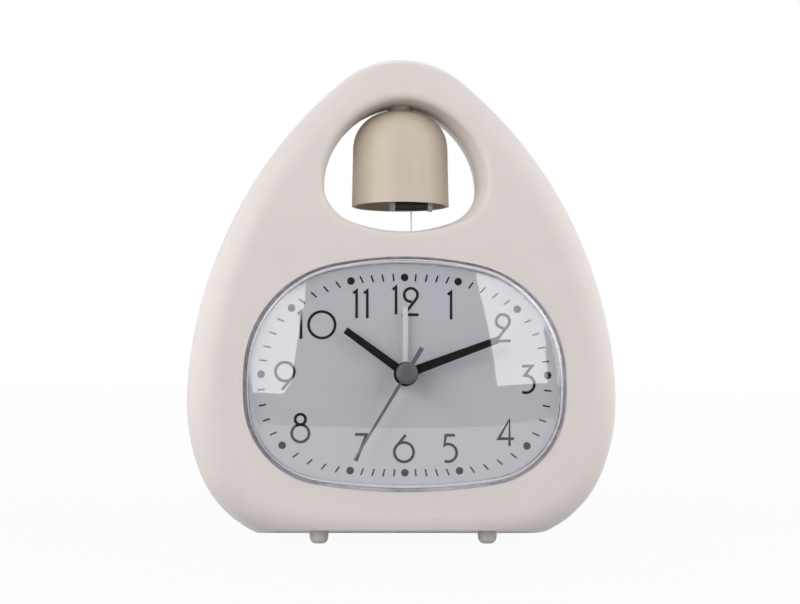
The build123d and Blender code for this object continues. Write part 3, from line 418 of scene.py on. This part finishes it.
def with_seam_shadow(name, plain):
    """A copy of a plastic with a fine painted shadow line where the two shells meet, in place of the shade in the
    gap between them.
    """
    made = plain.copy()
    made.name = name
    tree = made.node_tree
    colour = tree.nodes["Principled BSDF"].inputs["Base Color"]
    source = tree.nodes.new("ShaderNodeTexCoord")
    depth = along_inward(tree, source.outputs["Object"])
    gap = reckon(tree, "ABSOLUTE", reckon(tree, "SUBTRACT", depth, place(0, 0, 0).dot(inward)))
    # Painted shadow: the colour turns to the shadow colour within this distance of the parting plane
    line = remap(tree, gap, SEAM_SHADOW_HALF * MM, SEAM_SHADOW_FADE * MM, SEAM_SHADOW_STRENGTH, 0.0)
    mix = tree.nodes.new("ShaderNodeMix")
    mix.data_type = "RGBA"
    # A mix node's colours are its inputs 6 and 7 and its output 2
    mix.inputs[7].default_value = (*SEAM_SHADOW_COLOUR, 1)
    tree.links.new(line, mix.inputs[0])
    tree.links.new(colour.links[0].from_socket, mix.inputs[6])
    tree.links.new(mix.outputs[2], colour)
    return made


def banded(name, axis, stops, rough):
    """Bands of colour along one of the object's axes."""
    made, tree, shader = new_material(name)
    source = tree.nodes.new("ShaderNodeTexCoord")
    split = tree.nodes.new("ShaderNodeSeparateXYZ")
    tree.links.new(source.outputs["Object"], split.inputs["Vector"])
    low, high = stops[0][0], stops[-1][0]
    reach = remap(tree, split.outputs[axis], low, high, 0.0, 1.0)
    bands = ramp(tree, reach, [((at - low) / (high - low), c) for at, c in stops])
    tree.links.new(bands, shader.inputs["Base Color"])
    shader.inputs["Roughness"].default_value = rough
    return made


cell_low, cell_high = (corner.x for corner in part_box("battery"))
cell_step = cell_low + (cell_high - cell_low) * COPPER_SHARE
wrap_stops = [(cell_low, WRAP_COPPER), (cell_step - WRAP_BLEND, WRAP_COPPER),
              (cell_step, WRAP_BLACK), (cell_high, WRAP_BLACK)]
MATERIALS = {
    "cream": surface("cream_plastic", (0.755, 0.697, 0.664), 0.47, spread=0.012, bump=0.06, specular=0.4),
    "control": surface("control_plastic", (0.52, 0.455, 0.385), 0.42, bump=0.06),
    "bell": surface("bell_lacquer", (0.63, 0.55, 0.445), 0.56, blotch=90, spread=0.02, bump=0.05, coat=0.12),
    "clear": clear_plastic("clear_plastic", (0.965, 0.97, 0.985), (0.86, 0.85, 1.0)),
    "dial": surface("dial_card", (0.56, 0.553, 0.58), 0.6, spread=0.008, bump=0.03),
    "steel": surface("bright_steel", (0.60, 0.60, 0.61), 0.28, metal=1.0, stretch=(1, 1, 8)),
    "iron": surface("soft_iron", (0.34, 0.34, 0.35), 0.45, metal=1.0),
    "copper": surface("copper_wire", (0.72, 0.33, 0.16), 0.35, metal=1.0, grain=9000, bump=0.5,
                      stretch=(12, 1, 1)),
    "board": surface("circuit_resin", (0.02, 0.11, 0.05), 0.35, spread=0.15),
    "movement": surface("movement_plastic", (0.022, 0.022, 0.024), 0.5, spread=0.1),
    "wheel": surface("wheel_resin", (0.70, 0.68, 0.62), 0.35, spread=0.02),
    "rotor": surface("magnet", (0.12, 0.12, 0.13), 0.4, metal=1.0),
    "black": surface("hand_black", (0.010, 0.007, 0.006), 0.7, spread=0.1, specular=0.12),
    "white": surface("white_paint", (0.72, 0.72, 0.73), 0.4, spread=0.01),
    "grey": surface("hand_grey", (0.125, 0.125, 0.13), 0.38, spread=0.03),
    "battery": banded("cell_wrap", "X", wrap_stops, 0.3),
}
# The shells' cream plastic carries a painted shadow line along their seam
shell_plastic_seam_shadow = with_seam_shadow("shell_plastic_seam_shadow", MATERIALS["cream"])
OWN_FINISH = {
    "front_shell": shell_plastic_seam_shadow,
    "rear_shell": shell_plastic_seam_shadow,
    "striker_head": surface("striker_rubber", (0.055, 0.040, 0.032), 0.42, spread=0.1),
}
mark_ink = surface("mark_ink", (0.23, 0.205, 0.185), 0.6, spread=0.08, specular=0.3)
ink = surface("dial_ink", (0.010, 0.010, 0.011), 0.6, spread=0.1, specular=0.2)

slot_of = {row["node"]: row["material_slot"] for row in frame["record"]["subparts"]}
for name, node in nodes.items():
    node.data.materials.clear()
    node.data.materials.append(OWN_FINISH.get(name) or MATERIALS[slot_of[name]])

# Print on the dial
verts, faces = [], []
for strokes in NUMERALS.values():
    for points, closed in strokes:
        ribbon(verts, faces, points, closed, STROKE)
piece("dial_numerals", verts, faces, "case", ink)

dots, dot_faces = [], []
ticks, tick_faces = [], []
for side in (1, -1):
    for x, z in HOUR_DOTS:
        if side > 0 or x:
            spot(dots, dot_faces, side * x, z, DOT_RADIUS)
    for group in MINUTE_MARKS:
        for x, z in group:
            reach = TICK_LENGTH / 2 / hypot(x, z)
            ends = [(side * x * (1 + way * reach), z * (1 + way * reach)) for way in (-1, 1)]
            ribbon(ticks, tick_faces, ends, False, TICK_WIDTH)
piece("dial_dots", dots, dot_faces, "case", ink)
piece("dial_ticks", ticks, tick_faces, "case", ink)

# Print on the back: which way the knobs turn, what they set, and on and off beside the switch
bpy.context.view_layer.update()
marks = beside("time_knob", TURN_SIGN) + beside("alarm_knob", TURN_SIGN)
marks += beside("time_knob", CLOCK_SIGN, z=SIGN_LIFT)
marks += beside("alarm_knob", BELL_SIGN, z=SIGN_LIFT)
marks += beside("switch_body", ON_SIGN, x=SWITCH_SIGN)
marks += beside("switch_body", OFF_SIGN, x=-SWITCH_SIGN)
verts, faces = [], []
for points, closed in marks:
    ribbon(verts, faces, points, closed, MARK_WIDTH, rear_lay)
piece("rear_marks", verts, faces, "case", mark_ink)

# Studio


def card(name, corners, faces, material):
    """A flat sheet of the studio."""
    mesh = bpy.data.meshes.new(name)
    mesh.from_pydata(corners, [], faces)
    mesh.materials.append(material)
    made = bpy.data.objects.new(name, mesh)
    scene.collection.objects.link(made)
    return made


def soft_box(name, azimuth, elevation, distance, width, height, radiance):
    """A soft box that faces the clock; radiance sets its power."""
    lamp = bpy.data.lights.new(name, "AREA")
    lamp.shape = "RECTANGLE"
    lamp.size = width
    lamp.size_y = height
    lamp.energy = radiance * pi * width * height
    made = bpy.data.objects.new(name, lamp)
    scene.collection.objects.link(made)
    away = bearing(azimuth, elevation)
    made.location = dial_axis + away * distance
    made.rotation_mode = "QUATERNION"
    made.rotation_quaternion = away.to_track_quat("Z", "Y")


paper, tree, shader = new_material("studio_paper")
shader.inputs["Base Color"].default_value = (FLOOR_SHADE, FLOOR_SHADE, FLOOR_SHADE, 1)
shader.inputs["Roughness"].default_value = FLOOR_ROUGH
glow = tree.nodes.new("ShaderNodeEmission")
glow.inputs["Strength"].default_value = 1.0
source = tree.nodes.new("ShaderNodeTexCoord")
away = tree.nodes.new("ShaderNodeVectorMath")
away.operation = "LENGTH"
tree.links.new(source.outputs["Object"], away.inputs[0])
white = remap(tree, away.outputs["Value"], *WHITE_REACH, *WHITE_SHARE)
share = reckon(tree, "MULTIPLY", seen_directly(tree), white)
show_mix(tree, share, shader.outputs["BSDF"], glow.outputs["Emission"])
corners = [(-FLOOR_HALF, -FLOOR_HALF, 0), (FLOOR_HALF, -FLOOR_HALF, 0),
           (FLOOR_HALF, FLOOR_HALF, 0), (-FLOOR_HALF, FLOOR_HALF, 0)]
floor = card("floor", corners, [(0, 1, 2, 3)], paper)
floor.location.z = -FLOOR_DROP

world = bpy.data.worlds.new("studio")
scene.world = world
world.use_nodes = True
tree = world.node_tree
backdrop = tree.nodes["Background"]
backdrop.inputs["Color"].default_value = (1, 1, 1, 1)
level = remap(tree, seen_directly(tree), 0.0, 1.0, AMBIENT, 1.0)
tree.links.new(level, backdrop.inputs["Strength"])

# A dark flag behind the camera keeps the lens clear between the soft boxes
felt, tree, shader = new_material("flag_felt")
shader.inputs["Base Color"].default_value = (FLAG_SHADE, FLAG_SHADE, FLAG_SHADE, 1)
shader.inputs["Roughness"].default_value = 1.0
corners = FLAG_FEET + [(x, y, FLAG_TOP) for x, y, z in FLAG_FEET]
flag = card("flag", corners, [(i, i + 1, i + 5, i + 4) for i in range(3)], felt)
flag.visible_camera = False
flag.visible_diffuse = False
flag.visible_shadow = False

soft_box("box_left", -32.8, 21.5, 1.5, 0.46, 0.85, BOX_RADIANCE)
soft_box("box_right", 34.2, 23.5, 1.5, 0.36, 0.85, BOX_RADIANCE)
soft_box("panel_left", -62, 28, 1.2, 0.9, 0.9, LEFT_RADIANCE)
soft_box("panel_right", 72, 28, 1.2, 0.9, 0.9, RIGHT_RADIANCE)
soft_box("rim_left", -112, 12, 1.2, 1.0, 1.4, RIM_RADIANCE)
soft_box("rim_right", 112, 12, 1.2, 1.0, 1.4, RIM_RADIANCE)
soft_box("box_back", 180, 42, 1.6, 1.2, 0.8, BACK_RADIANCE)
soft_box("box_top", 0, 72, 1.6, 1.6, 1.6, TOP_RADIANCE)

# Camera at the photograph's angle, turned so that the dial stands where the photograph has it
back = bearing(CAMERA_AZIMUTH, CAMERA_ELEVATION)
side = Vector((cos(radians(CAMERA_AZIMUTH)), sin(radians(CAMERA_AZIMUTH)), 0))
rise = back.cross(side)
dial_centre = place(0, DIAL_PLANE, 0)
per_pixel = CAMERA_DISTANCE / FOCAL_PIXELS
aim = dial_centre - side * (DIAL_PIXEL_OFFSET[0] * per_pixel) + rise * (DIAL_PIXEL_OFFSET[1] * per_pixel)
camera = bpy.data.objects.new("camera", bpy.data.cameras.new("camera"))
scene.collection.objects.link(camera)
camera.data.sensor_width = SENSOR
camera.data.lens = FOCAL_PIXELS / PHOTO_WIDTH * SENSOR
camera.data.clip_start, camera.data.clip_end = CAMERA_CLIP
camera.location = dial_centre + back * CAMERA_DISTANCE
camera.rotation_mode = "QUATERNION"
level_turn = (camera.location - aim).to_track_quat("Z", "Y")
camera.rotation_quaternion = level_turn @ Quaternion((0, 0, 1), radians(CAMERA_ROLL))
scene.camera = camera
scene.view_settings.view_transform = "Standard"
